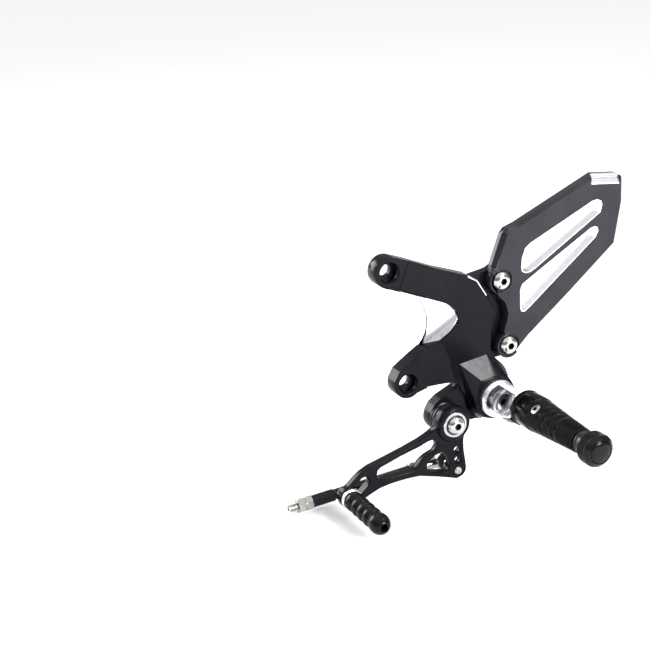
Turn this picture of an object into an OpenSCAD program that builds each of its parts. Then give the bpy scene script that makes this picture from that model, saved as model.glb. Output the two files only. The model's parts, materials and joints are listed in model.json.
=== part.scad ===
// Gear-shift side of a rear-set footrest: hanger, heel guard, folding footpeg, shift lever and linkage.
// Millimetres. X points to the rear of the motorcycle, -Y points away from the frame, Z is up.
// The origin is the upper mounting bore's centre on the hanger's mounting face.

/* [Hanger] */
// Thickness of the hanger's main body
body_t = 14; // [12:0.5:18]
// Height of the two mounting pads above the mounting face
pad_t = 12.5; // [10:0.5:13.5]
// Thickness of the ears behind the heel guard
ear_t = 6.5; // [5:0.5:9]
// Thickness of the lug that carries the lever
lug_t = 10.5; // [8:0.5:12]
// Radius of the clearance bores for the mounting screws
mount_r = 4.5; // [4:0.25:5.5]
// Radius of the counterbores for the mounting screw heads
counterbore_r = 7.7; // [7:0.1:9]
// Depth of the counterbores
counterbore_deep = 7; // [4:0.5:9]
// Lower mounting bore, distance to the rear of the upper one
lower_x = 17.2; // [14:0.1:20]
// Lower mounting bore, distance below the upper one
lower_drop = 86.9; // [84:0.1:90]
// Height of the footpeg boss above the mounting face
boss_t = 20; // [18:0.5:22]

/* [Heel guard] */
// Thickness of the heel guard plate
guard_t = 8; // [5:0.5:9]
// Height of the top end of the plate above the upper mounting bore
guard_top = 55; // [45:1:60]
// Thickness of the bare metal lining of the two long slots
liner_t = 0.7; // [0.5:0.1:1]
// Radius of the recesses for the guard screws
guard_recess_r = 8.6; // [8:0.1:9]
// Radius of the serrated disc behind the hanger
disc_r = 25; // [22:0.5:26]

/* [Footpeg] */
// Radius of the round foot of the peg base
foot_r = 14.6; // [13.5:0.1:15.5]
// Radius of the clevis
clevis_r = 12.3; // [11.5:0.1:13]
// Distance of the hinge from the mounting face
hinge_out = 46; // [44:0.5:50]
// Angle of the hinge pin from the vertical, leaning to the front
hinge_tilt = 55.2; // [40:0.2:60]
// Half distance between the clevis flats
flat_half = 8.5; // [8:0.1:9.5]
// Half width of the clevis slot
slot_half = 5.2; // [5:0.1:6]
// Free play on each side of the tongue
tongue_play = 0.2; // [0.1:0.05:0.4]
// Radius of the smooth collar
collar_r = 13.3; // [12:0.1:14]
// Upward shift of the peg's axis from the hinge
peg_shift = 5.5; // [3:0.5:6]
// Radius of the knurled barrel at its inner end
barrel_r = 13; // [11.5:0.1:13.3]
// Radius of the knurled barrel at its outer end
barrel_tip_r = 9.5; // [8.5:0.1:10.5]
// Length of the knurled barrel
barrel_l = 50.7; // [40:0.1:60]
// Radius of the end cap
cap_r = 12.2; // [10.5:0.1:13]

/* [Lever] */
// Thickness of the lever plate
lever_t = 7; // [5:0.5:8]
// Gap between the mounting face and the back of the lever
lever_back = 17.5; // [17:0.5:20]
// Radius of the lever's eye
eye_r = 13.8; // [13:0.1:15]
// Outer radius of the pivot bearing
bearing_r = 9.75; // [9:0.05:10]
// Radius of the three linkage holes
link_hole_r = 3.1; // [3:0.05:3.4]
// Length of the toe peg
toe_l = 49.3; // [44:0.5:55]
// Radius of the toe peg
toe_r = 7.5; // [6.8:0.1:8]

/* [Linkage] */
// Length from the ball joint to the free end of the rod
rod_l = 131; // [120:1:150]
// Slope of the rod below the horizontal
rod_slope = 6.6; // [0:0.1:12]
// Distance of the ball joint from the mounting face
ball_out = 1.5; // [0:0.5:5]
// Width across the flats of the black sleeve
sleeve_af = 9; // [8:0.5:10]
// Length of thread left bare at the free end
rod_bare = 7; // [6:0.5:12]

/* [Hidden] */
$fn = 64;
// Small overlap that keeps joined shapes from meeting in a bare edge
eps = 0.01;
// Long enough to cut right through anything here
far = 400;
// Nominal radii of the metric screws
m8_r = 4;
m6_r = 3;
m10_r = 5;
// Radial clearance around a screw that passes through
screw_play = 0.06;
// Radial clearance of a part that turns on another
run_play = 0.06;
// Radius of the front of the footpeg boss
boss_ring_r = 17.2;
// Depth of the recess that holds the foot of the peg base
foot_deep = 4;
// Number of teeth round the serrated disc
disc_teeth = 60;
// Distance of the collar's screw from the mounting face
screw_out = 79.5;
// How far a bevel's cutter runs past both ends of its edge
bevel_over = 1.5;
// Depth of the bare metal faces left by machining
bright_skin = 0.7;
// Gap kept between pieces that move past each other
move_gap = 0.3;
// Radius of the rod's thread where the sleeve and the nuts cover it
stud_r = 2.8;
// Thickness of the black rim left behind the bare web
rim_t = 1.5;
// Grooves are cut along the barrel at these distances from its inner end
groove_at = [9.5, 16.4, 23.3, 30.2];

upper = [0, 0];
lower = [lower_x, -lower_drop];
guard_bolt_a = [93, -17];
guard_bolt_b = [101.8, -68.6];
pivot = [48.9, -119.2];
foot = [88, -106];
link_a = [53.5, -141.4];
link_b = [54.2, -149.9];
link_c = [55, -158.6];
toe = [-35.1, -163.5];

guard_back = -ear_t;
guard_front = guard_back - guard_t;
lever_front = -lever_back - lever_t;
collar_back = -hinge_out - 9.5;
collar_front = collar_back - 20.5;
barrel_front = collar_front - barrel_l;
cap_back = barrel_front - 7;
toe_back = lever_front - 3;
rod_nut_t = 5.6;
sleeve_end = rod_l - rod_bare - 2 * rod_nut_t - 2 * move_gap;
tongue_half = slot_half - tongue_play;

// Sub-part to draw, or all of them

// Shapes along the Y axis

module round_y(at, r, y_near, y_far) {
  translate([at[0], y_near, at[1]])
    rotate([90, 0, 0])
      cylinder(h = y_near - y_far, r = r);
}

module hex_y(at, af, y_near, y_far) {
  translate([at[0], y_near, at[1]])
    rotate([90, 0, 0])
      cylinder(h = y_near - y_far, r = af / sqrt(3), $fn = 6);
}

module plate(y_near, y_far) {
  translate([0, y_near, 0])
    rotate([90, 0, 0])
      linear_extrude(height = y_near - y_far)
        children();
}

module turned_y(at, y_near) {
  translate([at[0], y_near, at[1]])
    rotate([90, 0, 0])
      rotate_extrude()
        children();
}

// Everything on the side of a plane that its normal points to
module half_space(point, normal) {
  translate(point)
    rotate([0, acos(normal[2] / norm(normal)), atan2(normal[1], normal[0])])
      translate([-far / 2, -far / 2, 0])
        cube([far, far, far]);
}

// Local frame of the folding hinge: X across the peg, Y along it, Z along the hinge pin
module hinge_frame() {
  translate([foot[0], -hinge_out, foot[1]])
    rotate([0, -hinge_tilt, 0])
      children();
}

// Local frame of the peg: Z runs outward along the peg from the mounting face
module peg_frame() {
  hinge_frame()
    translate([peg_shift, hinge_out, 0])
      rotate([90, 0, 0])
        children();
}

// Local frame of the rod: Z runs from the ball joint to the free end
module rod_frame() {
  translate([link_c[0], -ball_out, link_c[1]])
    rotate([0, -90 - rod_slope, 0])
      children();
}

// Hanger

module arm_and_body_outline() {
  translate(upper) circle(r = 11.6);
  translate(lower) circle(r = 11.2);
  polygon([[3, 11.2], [15.5, 7.1], [40.3, -2], [65.7, -9.9], [72.6, -13.6], [81.6, -26.5], [86.6, -34.9],
    [87.8, -40.5], [86.4, -46.5], [85.6, -54.3], [86, -62], [86.4, -70.2], [88.4, -74.4], [93, -79.4],
    [104.4, -96.5], [103.6, -112], [88, -123], [74, -122], [67, -106], [60.4, -95.8], [59, -93],
    [56.2, -92], [51.5, -91.6], [42.9, -92], [31.1, -93.2], [24.4, -95.4], [20.4, -97.6],
    [5.9, -84], [9.9, -76.3], [21.9, -67.6], [29.5, -62.5], [43.6, -57.6], [50.2, -51.6],
    [56.4, -45.9], [57.4, -43.2], [57.4, -40.4], [55.7, -36.3], [51.3, -31.8], [47.2, -28.6],
    [41, -26.2], [24.3, -20.4], [7.9, -14.3], [-3.2, -11.4]]);
}

module ear_outline() {
  translate(guard_bolt_a) circle(r = 10.5);
  translate(guard_bolt_b) circle(r = 10.5);
  polygon([[66, -13.2], [84, -9.6], [94, -6.6], [103.4, -19], [102.5, -30], [102.5, -44], [103, -57.5],
    [111, -70], [104, -79], [92, -80], [80, -70], [74, -30]]);
}

module lug_outline() {
  translate(pivot) circle(r = 12);
  polygon([[64, -88], [59.8, -93.6], [59, -97.6], [46, -104], [40.6, -108.6], [37.4, -114.5], [50, -131.2],
    [61, -127], [70, -125.6], [78, -125], [84, -100]]);
}

// Raised, faceted block that carries the footpeg; the corner at its front ends the crease of two facets
module boss() {
  hull() {
    plate(-body_t + 2, -body_t + 0.8)
      polygon([[59.6, -77.5], [82.6, -73.2], [91.5, -79], [103.8, -97], [103.6, -112], [88, -123],
        [77, -122.8], [70, -117]]);
    round_y(foot, boss_ring_r, -boss_t + 2.5, -boss_t);
    round_y([75.2, -91.6], 0.5, -boss_t + 2.5, -boss_t);
  }
}

// The body's lower half falls away a little below a faint crease
module lower_facet() {
  intersection() {
    half_space([58.6, -body_t, -47.9], [0.0016, -1, -0.025]);
    plate(0, -30)
      polygon([[45.2, -58], [58.6, -47.9], [130, -43], [130, -140], [40, -140], [56.3, -90.2]]);
  }
}

// Sloping middles of the two arms, lower than the pads they start from
module arm_slopes() {
  intersection() {
    half_space([11.7, -pad_t + 2.4, -3], [-0.0825, -1, 0.034]);
    plate(0, -30)
      polygon([[16.4, 9.5], [7.6, -14.2], [49.2, -29.4], [58, -7]]);
  }
  intersection() {
    half_space([28.3, -pad_t + 2.4, -79.5], [-0.13, -1, -0.05]);
    plate(0, -30)
      polygon([[23.2, -64.5], [33.6, -93.5], [58.8, -92.6], [44, -55.8]]);
  }
}

module pad_tops() {
  plate(-pad_t, -30)
    polygon([[16.4, 9.5], [7.6, -14.2], [-14, -14], [-14, 14], [12, 14]]);
  plate(-pad_t, -30)
    polygon([[23.2, -64.5], [33.6, -93.5], [20, -101], [2, -98], [3, -74], [18, -64]]);
}

// Cuts a front edge that runs clockwise from a to b; width is measured on the front face
module bevel(a, b, y_front, width, tilt = 45) {
  run = norm(b - a);
  translate([a[0], y_front, a[1]])
    rotate([0, -atan2(b[1] - a[1], b[0] - a[0]), 0])
      rotate([tilt, 0, 0])
        translate([-bevel_over, -far / 2, -width * cos(tilt)])
          cube([run + 2 * bevel_over, far, 20]);
}

// Bevel along the upper rear edge of the body; skin is the depth left for its bright face
module rear_bevel(skin) {
  bevel([65.7, -9.9], [72.6, -13.6], -body_t, 0.9 + skin);
  bevel([72.6, -13.6], [81.6, -26.5], -body_t, 0.9 + skin);
  bevel([81.6, -26.5], [86.6, -34.9], -body_t, 0.9 + skin);
}

module hanger() {
  color([0.05, 0.05, 0.06])
    difference() {
      union() {
        difference() {
          plate(0, -body_t) arm_and_body_outline();
          arm_slopes();
          pad_tops();
          lower_facet();
          rear_bevel(bright_skin);
        }
        plate(0, -rim_t) web_outline();
        plate(0, -ear_t) ear_outline();
        plate(0, -lug_t) lug_outline();
        boss();
      }
      round_y(upper, mount_r, 1, -30);
      round_y(lower, mount_r, 1, -30);
      round_y(upper, counterbore_r, -pad_t + counterbore_deep, -30);
      round_y(lower, counterbore_r, -pad_t + counterbore_deep, -30);
      round_y(guard_bolt_a, m8_r + screw_play, 1, -30);
      round_y(guard_bolt_b, m8_r + screw_play, 1, -30);
      round_y(pivot, m8_r + screw_play, 1, -30);
      round_y(foot, foot_r + screw_play, -boss_t + foot_deep, -30);
      round_y(foot, m10_r + screw_play, 1, -30);
    }
}

module web_outline() {
  polygon([[24.3, -20.4], [41, -26.2], [47.2, -28.6], [51.3, -31.8], [55.7, -36.3], [57.4, -40.4],
    [57.4, -43.2], [56.4, -45.9], [50.2, -51.6], [43.6, -57.6], [29.5, -62.5], [33.8, -61],
    [36.6, -53.5], [37.6, -47], [37.2, -40.5], [34.6, -33.5], [30.6, -26.5]]);
}

// Bare machined web between the arms, a shallow valley of two facets in front of a thin black rim
module hanger_web() {
  color([0.8, 0.81, 0.83])
    difference() {
      plate(-rim_t, -body_t + 1.5) web_outline();
      intersection() {
        half_space([31, -4, -28], [-90, -323, -35]);
        half_space([54, -9, -41], [-128.5, -136, 90]);
      }
    }
}

module bright_edge() {
  color([0.8, 0.81, 0.83])
    difference() {
      intersection() {
        plate(0, -body_t) arm_and_body_outline();
        rear_bevel(bright_skin);
      }
      rear_bevel(0);
    }
}

// Heel guard

module upper_slot() {
  polygon([[174.4, 36.6], [178, 35], [179.2, 32], [177.9, 26.2], [121.9, -10.8], [117.5, -13.2],
    [113.2, -13.6], [110.3, -12], [109.4, -9.2], [109.6, -1.6], [112, 5.8], [116.4, 9.3], [169.9, 35.7]]);
}

module lower_slot() {
  polygon([[173.2, 15.9], [176.3, 14.8], [177, 11.6], [174.8, 7.1], [117.4, -41.5], [114, -43.8],
    [111.3, -43.2], [110.1, -40.5], [109.3, -26.3], [111, -21.8], [116.2, -18.4], [169.6, 14.7]]);
}

module guard_outline() {
  translate(guard_bolt_a) circle(r = 10.1);
  translate(guard_bolt_b) circle(r = 10.1);
  polygon([[84.4, -13.4], [85.3, -5], [93, 18], [96.3, 21.9], [105, 25], [170, guard_top + 1],
    [192.4, guard_top - 0.4], [197.3, guard_top - 4.6], [198.4, 33], [196.8, 13.6], [194, 0],
    [156, -33.4], [119.8, -64], [110.4, -73.8], [101.8, -69], [97.2, -61.4], [96.9, -56],
    [99.2, -48.4], [99.8, -42.2], [96.8, -34.4], [90.6, -28.6], [88, -24]]);
}

module tip_bevel(skin) {
  bevel([170, guard_top + 1], [192.4, guard_top - 0.4], guard_front, 7 + skin, 63);
}

module heel_guard() {
  color([0.05, 0.05, 0.06])
    difference() {
      plate(guard_back, guard_front) guard_outline();
      plate(1, -far) upper_slot();
      plate(1, -far) lower_slot();
      tip_bevel(bright_skin);
      bevel([85.3, -5], [93, 18], guard_front, 3.2);
      bevel([105, 25], [170, guard_top + 1], guard_front, 2.2);
      bevel([197.3, guard_top - 4.6], [198.4, 33], guard_front, 2.2);
      bevel([198.4, 33], [194, 0], guard_front, 2.2);
      bevel([194, 0], [156, -33.4], guard_front, 2.2);
      bevel([156, -33.4], [119.8, -64], guard_front, 2.2);
      bevel([119.8, -64], [110.4, -73.8], guard_front, 2.2);
      round_y(guard_bolt_a, guard_recess_r, guard_front + 1.5, -far);
      round_y(guard_bolt_b, guard_recess_r, guard_front + 1.5, -far);
      round_y(guard_bolt_a, m8_r + screw_play, 1, -far);
      round_y(guard_bolt_b, m8_r + screw_play, 1, -far);
    }
}

// Bare linings of the slots and the bare bevel at the tip
module guard_bright_faces() {
  color([0.85, 0.86, 0.88]) {
    plate(guard_back, guard_front)
      difference() {
        upper_slot();
        offset(delta = -liner_t) upper_slot();
      }
    plate(guard_back, guard_front)
      difference() {
        lower_slot();
        offset(delta = -liner_t) lower_slot();
      }
    difference() {
      intersection() {
        plate(guard_back, guard_front) guard_outline();
        tip_bevel(bright_skin);
      }
      tip_bevel(0);
    }
  }
}

// Button-head screw along Y whose head sits on y_seat and whose shank reaches y_tip
module button_screw(at, y_seat, y_tip, shank_r, head_r, head_h, key) {
  difference() {
    union() {
      turned_y(at, y_seat)
        polygon([[0, 0], [head_r, 0], [head_r, 0.22 * head_h], [0.93 * head_r, 0.5 * head_h],
          [0.78 * head_r, 0.8 * head_h], [0.56 * head_r, head_h], [0, head_h]]);
      round_y(at, shank_r, y_tip, y_seat);
    }
    hex_y(at, key, y_seat - 0.4 * head_h, y_seat - head_h - 1);
  }
}

module guard_bolts() {
  color([0.7, 0.7, 0.72]) {
    button_screw(guard_bolt_a, guard_front + 1.5, 4, m8_r, 7.3, 4.4, 5);
    button_screw(guard_bolt_b, guard_front + 1.5, 4, m8_r, 7.3, 4.4, 5);
  }
}

// Footpeg

module peg_base() {
  color([0.82, 0.83, 0.85])
    difference() {
      union() {
        turned_y(foot, -boss_t + foot_deep)
          polygon([[0, 0], [foot_r, 0], [foot_r, 8.3], [clevis_r, 10.8], [0, 10.8]]);
        round_y(foot, clevis_r, -boss_t, collar_back + move_gap);
      }
      hinge_frame() {
        // Two flats for the screw head and the nut, rounded at their inner end
        for (side = [-1, 1])
          scale([1, 1, side])
            translate([0, 0, flat_half]) {
              cylinder(h = 20, r = clevis_r + 0.3);
              translate([-clevis_r - 0.3, -20, 0]) cube([2 * clevis_r + 0.6, 20, 20]);
            }
        translate([-20, -20, -slot_half]) cube([40, 30, 2 * slot_half]);
        cylinder(h = 60, r = m8_r + screw_play, center = true);
        // Flat on top that lets the folded peg pass
        translate([9.1, -30, -30]) cube([20, 48.6, 60]);
        // Ears rounded above the hinge line
        difference() {
          translate([0, -20, -30]) cube([30, 20, 60]);
          cylinder(h = 80, r = 9.1, center = true);
        }
        // Sloping cut under the outer end
        translate([-7.6, -9.5, 0]) rotate([0, 0, 14.5]) translate([-20, -6, -30]) cube([20, 40, 60]);
      }
      // Blind thread for the screw from the back of the hanger
      round_y(foot, m10_r, 1, -31);
    }
}

module base_bolt() {
  color([0.55, 0.56, 0.58]) {
    round_y(foot, m10_r, 2.4, -30);
    difference() {
      round_y(foot, 8, 12.4, 2.4);
      hex_y(foot, 8, 13, 7);
    }
  }
}

// Serrated disc behind the hanger, held by the base's screw
module base_washer() {
  color([0.08, 0.08, 0.09])
    difference() {
      plate(2.4, 0)
        translate(foot)
          polygon([for (i = [0 : 2 * disc_teeth - 1])
            let (r = i % 2 == 0 ? disc_r : disc_r - 1.1, a = i * 180 / disc_teeth)
              [r * cos(a), r * sin(a)]]);
      round_y(foot, m10_r + screw_play, 3, -1);
    }
}

module hinge_bolt() {
  color([0.7, 0.7, 0.72])
    hinge_frame()
      difference() {
        union() {
          translate([0, 0, flat_half])
            rotate_extrude()
              polygon([[0, 0], [8.7, 0], [8.7, 1.1], [8.2, 2.2], [7.2, 3], [5.6, 3.5], [0, 3.5]]);
          translate([0, 0, -flat_half - 9]) cylinder(h = 2 * flat_half + 9, r = m8_r);
        }
        translate([0, 0, flat_half + 1]) cylinder(h = 6, r = 5 / sqrt(3), $fn = 6);
      }
}

module hinge_nut() {
  color([0.6, 0.61, 0.63])
    hinge_frame()
      translate([0, 0, -flat_half - 6.5])
        difference() {
          cylinder(h = 6.5, r = 13 / sqrt(3), $fn = 6);
          translate([0, 0, -1]) cylinder(h = 9, r = m8_r + screw_play);
        }
}

module peg_collar() {
  color([0.04, 0.04, 0.045])
    difference() {
      union() {
        peg_frame()
          translate([0, 0, -collar_back])
            rotate_extrude()
              polygon([[0, 0], [collar_r - 1.2, 0], [collar_r - 0.3, 0.7], [collar_r, 1.8], [collar_r, 4.2],
                [collar_r - 0.9, 4.8], [collar_r - 0.9, 5.8], [collar_r, 6.4], [collar_r, 19.6],
                [collar_r - 0.9, 20.5], [0, 20.5]]);
        hinge_frame() {
          translate([0, 0, -tongue_half]) cylinder(h = 2 * tongue_half, r = 8.8);
          translate([-8.8, -10, -tongue_half]) cube([17.6, 10, 2 * tongue_half]);
        }
      }
      hinge_frame() cylinder(h = 60, r = m8_r + run_play, center = true);
      peg_frame() translate([0, 0, -collar_front - 12]) cylinder(h = 20, r = 5.05);
      side_pocket();
    }
}

// Local frame of the screw that holds the collar to the core: Z points outward along the screw
module side_frame() {
  hinge_frame()
    translate([peg_shift, hinge_out - screw_out, 0])
      rotate([0, 11, 0])
        children();
}

// Spot face with a stepped hole in it, on the near side of the collar and the barrel
module side_pocket() {
  side_frame() {
    translate([0, 0, collar_r - 1]) cylinder(h = 10, r = 5.6);
    translate([0, 0, 6.6]) cylinder(h = 10, r = 4.6);
    translate([0, 0, 5.2]) cylinder(h = 10, r = 3);
  }
}

// Polished screw at the bottom of the stepped hole
module collar_screw() {
  color([0.85, 0.85, 0.87])
    side_frame()
      translate([0, 0, 5.2])
        difference() {
          union() {
            cylinder(h = 2, r = 2.9);
            translate([0, 0, 1.5]) cylinder(h = 4.6, r = 4.4);
          }
          translate([0, 0, 4.6]) cylinder(h = 3, r = 3 / sqrt(3), $fn = 6);
        }
}

module peg_barrel() {
  slope = (barrel_r - barrel_tip_r) / barrel_l;
  color([0.03, 0.03, 0.035])
    difference() {
      peg_frame()
        translate([0, 0, -collar_front])
          difference() {
            rotate_extrude()
              polygon([[5.05, 0], [barrel_r, 0], [barrel_tip_r + 0.5, barrel_l - 1], [barrel_tip_r, barrel_l],
                [5.05, barrel_l]]);
            for (z = groove_at)
              translate([0, 0, z])
                rotate_extrude()
                  polygon([[barrel_r - slope * z - 0.8, 0.4], [barrel_r - slope * z + 1, -0.6],
                    [barrel_r - slope * z + 1, 2.4], [barrel_r - slope * z - 0.8, 1.4]]);
          }
      side_pocket();
    }
}

// Steel core that runs from the collar to the end cap, with a hexagon outside the barrel
module peg_core() {
  color([0.1, 0.1, 0.11])
    peg_frame() {
      translate([0, 0, -collar_front - 10]) cylinder(h = barrel_l + 10 + 17, r = 5);
      translate([0, 0, -barrel_front]) cylinder(h = 2.2, r = 8);
      translate([0, 0, -barrel_front + 2.2]) cylinder(h = 4.8, r = 14 / sqrt(3), $fn = 6);
    }
}

module peg_cap() {
  color([0.04, 0.04, 0.045])
    peg_frame()
      translate([0, 0, -cap_back])
        rotate_extrude()
          polygon([[5.05, 0], [8.2, 0], [cap_r - 0.3, 3.6], [cap_r, 4.4], [cap_r, 11.2], [cap_r - 0.5, 12.4],
            [9, 15], [8.5, 15.3], [8.3, 15], [8.1, 14.4], [5.05, 14.4]]);
}

module cap_disc() {
  color([0.06, 0.06, 0.065])
    peg_frame()
      translate([0, 0, -cap_back + 14.4])
        rotate_extrude()
          polygon([[0, 0], [8.05, 0], [8.05, 0.5], [7.2, 1.1], [5, 1.7], [2.6, 2], [0, 2.1]]);
}

// Lever

module lever_outline() {
  difference() {
    union() {
      translate(pivot) circle(r = eye_r);
      translate([-34.6, -163.2]) circle(r = 8.6);
      polygon([[35.2, -120.4], [31.6, -123.1], [27.8, -125.4], [21.1, -128.6], [8.7, -133.1], [-7.8, -138.4],
        [-20, -142.2], [-26.5, -145.6], [-30.6, -148.8], [-36.2, -154], [-42, -158.8], [-42.2, -167.5],
        [-34, -171.8], [-28.6, -169.2], [-23.1, -165.3], [-19.8, -163.6], [-11.6, -160], [-3.3, -158.2],
        [5, -157.2], [13.4, -156.6], [21.8, -156.6], [39, -160.6], [47.7, -163], [53.9, -164.8],
        [58.6, -163.2], [61.3, -160.2], [61.8, -156.7], [60.8, -150.7], [59.1, -142.3], [58.5, -134],
        [59, -130.8], [61.8, -126], [56, -116]]);
    }
    // Long window
    polygon([[31.3, -129.4], [27.9, -130.1], [21.2, -132.8], [4.6, -137.7], [-11, -143.3],
      [-13.7, -145.6], [-14.1, -148.4], [-13.2, -151], [-10, -153.6], [4.9, -152.4], [16.6, -151.6],
      [19.8, -149.2], [22.8, -145.4], [27.4, -142], [33.8, -139.4], [36.4, -135.8], [35.6, -131.6]]);
    // Window in front of the ball joint
    polygon([[27.6, -150.1], [28.9, -153.6], [31, -155.2], [43.3, -157.6], [46, -157.4], [47.2, -155.8],
      [47.3, -150.8], [43.6, -143.2], [41.6, -141.2], [39.3, -140.6], [34.2, -142.9], [28.6, -146.8]]);
    // Slot that sets the toe peg's distance
    hull() {
      translate([-24.2, -152.8]) circle(r = 4.3);
      translate([-37.2, -165.4]) circle(r = 4.3);
    }
    for (at = [link_a, link_b, link_c])
      translate(at) circle(r = link_hole_r);
  }
}

module lever() {
  color([0.05, 0.05, 0.06])
    difference() {
      union() {
        plate(-lever_back, lever_front) lever_outline();
        turned_y(pivot, -lever_back)
          polygon([[0, 0], [eye_r, 0], [eye_r, 8], [12.6, 9.8], [11.9, 10.5], [0, 10.5]]);
      }
      round_y(pivot, bearing_r + 0.02, 1, -far);
    }
}

module bearing_outer() {
  color([0.78, 0.78, 0.8])
    turned_y(pivot, -lever_back - 1)
      polygon([[7.72, 0], [bearing_r, 0], [bearing_r, 9.3], [bearing_r - 0.4, 9.7], [9, 9.7], [8.8, 9.3],
        [8.4, 9.3], [8.2, 9.7], [7.9, 9.7], [7.72, 9.4]]);
}

module bearing_inner() {
  color([0.62, 0.62, 0.64])
    turned_y(pivot, -lever_back - 1)
      polygon([[m8_r + 0.02, 0], [7.66, 0], [7.66, 9.2], [7.3, 9.5], [m8_r + 0.02, 9.5]]);
}

// Grooved dust collar and spacer between the lug and the lever's bearing
module pivot_spacer() {
  color([0.06, 0.06, 0.065])
    turned_y(pivot, -lug_t)
      polygon([[m8_r + 0.02, 0], [12, 0], [12, 1.2], [11.2, 1.6], [11.2, 2.4], [12, 2.8], [12, 4],
        [11.2, 4.4], [11.2, 5.2], [12, 5.6], [12, 6.7], [7.4, 6.7], [7.4, 8], [m8_r + 0.02, 8]]);
}

module pivot_bolt() {
  color([0.72, 0.72, 0.74])
    button_screw(pivot, -lever_back - 10.5, 7, m8_r, 6.9, 4.2, 5);
}

module pivot_nut() {
  color([0.5, 0.5, 0.52])
    difference() {
      hex_y(pivot, 13, 6.5, 0);
      round_y(pivot, m8_r + screw_play, 8, -1);
    }
}

module toe_washer() {
  color([0.84, 0.85, 0.87])
    turned_y(toe, lever_front)
      polygon([[m6_r + 0.02, 0], [8, 0], [8, 1], [7.6, 1.4], [8, 1.8], [8, 2.6], [7.6, 3], [m6_r + 0.02, 3]]);
}

module toe_peg() {
  color([0.03, 0.03, 0.035])
    difference() {
      turned_y(toe, toe_back)
        polygon([[0, 0], [toe_r - 1, 0], [toe_r - 0.2, 1.4], [toe_r, 3.6], [toe_r - 0.4, 6], [toe_r - 1.6, 7.8],
          [toe_r - 1.6, 8.8], [toe_r - 0.4, 10.2], [toe_r, 12.6], [toe_r - 0.4, 15], [toe_r - 1.6, 16.6],
          [toe_r - 1.6, 17.6], [toe_r - 0.4, 19], [toe_r, 21.4], [toe_r - 0.4, 23.8], [toe_r - 1.6, 25.4],
          [toe_r - 1.6, 26.4], [toe_r - 0.4, 27.8], [toe_r, 30.2], [toe_r - 0.4, 32.4], [toe_r - 1.6, 34],
          [toe_r - 1.6, 35], [toe_r - 0.6, 36.4], [toe_r + 0.2, 39.4], [toe_r + 0.3, 42], [toe_r - 0.2, 44.8],
          [toe_r - 1.5, toe_l - 2.1], [toe_r - 3.2, toe_l - 0.5], [toe_r - 4.2, toe_l], [0, toe_l]]);
      round_y(toe, m6_r + 0.02, toe_back + 1, toe_back - 26);
      hex_y(toe, 5, toe_back - toe_l + 7, -far);
    }
}

module toe_stud() {
  color([0.55, 0.56, 0.58])
    round_y(toe, m6_r, -11.4, toe_back - 25);
}

module toe_nut() {
  color([0.6, 0.61, 0.63])
    difference() {
      union() {
        round_y(toe, 6.4, -lever_back + 1.2, -lever_back);
        hex_y(toe, 10, -lever_back + 5.4, -lever_back + 1);
      }
      round_y(toe, m6_r + 0.02, 1, -far);
    }
}

// Linkage

// Ball, neck, hexagon and thread in one piece, screwed into the lowest hole of the lever
module ball_stud() {
  color([0.72, 0.72, 0.74]) {
    round_y(link_c, 5, -ball_out + 4.4, -ball_out - 4.4);
    round_y(link_c, 3.2, -ball_out - 4.3, -lever_back + 3.1);
    hex_y(link_c, 9, -lever_back + 3.2, -lever_back);
    round_y(link_c, m6_r, -lever_back + eps, lever_front - 0.6);
  }
}

// Rubber seal round the stud's neck, in front of the housing
module ball_seal() {
  color([0.02, 0.02, 0.02])
    difference() {
      turned_y(link_c, -ball_out - 4)
        polygon([[0, 0], [6.6, 0], [6.8, 0.8], [6, 2], [4.8, 2.8], [0, 2.8]]);
      round_y(link_c, 5.1, 10, -ball_out - 4.6);
      round_y(link_c, 3.3, 1, -far);
    }
}

module rod_end() {
  color([0.74, 0.74, 0.76])
    difference() {
      union() {
        round_y(link_c, 8.3, -ball_out + 3.8, -ball_out - 3.8);
        rod_frame()
          translate([0, 0, 6])
            cylinder(h = 19, r = 3.7);
      }
      round_y(link_c, 5 + run_play, far, -far);
      rod_frame() translate([0, 0, 13]) cylinder(h = 20, r = stud_r + 0.02);
    }
}

module rod_jam_nut() {
  color([0.6, 0.61, 0.63])
    rod_frame()
      translate([0, 0, 25])
        difference() {
          cylinder(h = 5, r = 10 / sqrt(3), $fn = 6);
          translate([0, 0, -1]) cylinder(h = 8, r = stud_r + 0.02);
        }
}

// Round black sleeve with a hexagon at its free end
module rod_sleeve() {
  color([0.04, 0.04, 0.045])
    rod_frame()
      difference() {
        union() {
          translate([0, 0, 30]) cylinder(h = sleeve_end - 30, r = 3.9);
          translate([0, 0, sleeve_end - 18]) cylinder(h = 18, r = sleeve_af / sqrt(3), $fn = 6);
        }
        translate([0, 0, 29]) cylinder(h = rod_l, r = stud_r + 0.02);
      }
}

// Threaded rod inside the sleeve; its bare end takes the ball joint of the gear shaft's arm
module rod_stud() {
  color([0.7, 0.7, 0.72])
    rod_frame() {
      translate([0, 0, 14]) cylinder(h = rod_l - rod_bare - 14, r = stud_r);
      translate([0, 0, rod_l - rod_bare]) cylinder(h = rod_bare, r = m6_r);
    }
}

module rod_nuts() {
  color([0.78, 0.78, 0.8])
    rod_frame()
      for (z = [sleeve_end + 0.1, sleeve_end + move_gap + rod_nut_t])
        translate([0, 0, z])
          difference() {
            cylinder(h = rod_nut_t, r = 10 / sqrt(3), $fn = 6);
            translate([0, 0, -1]) cylinder(h = 9, r = stud_r + 0.02);
          }
}

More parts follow.
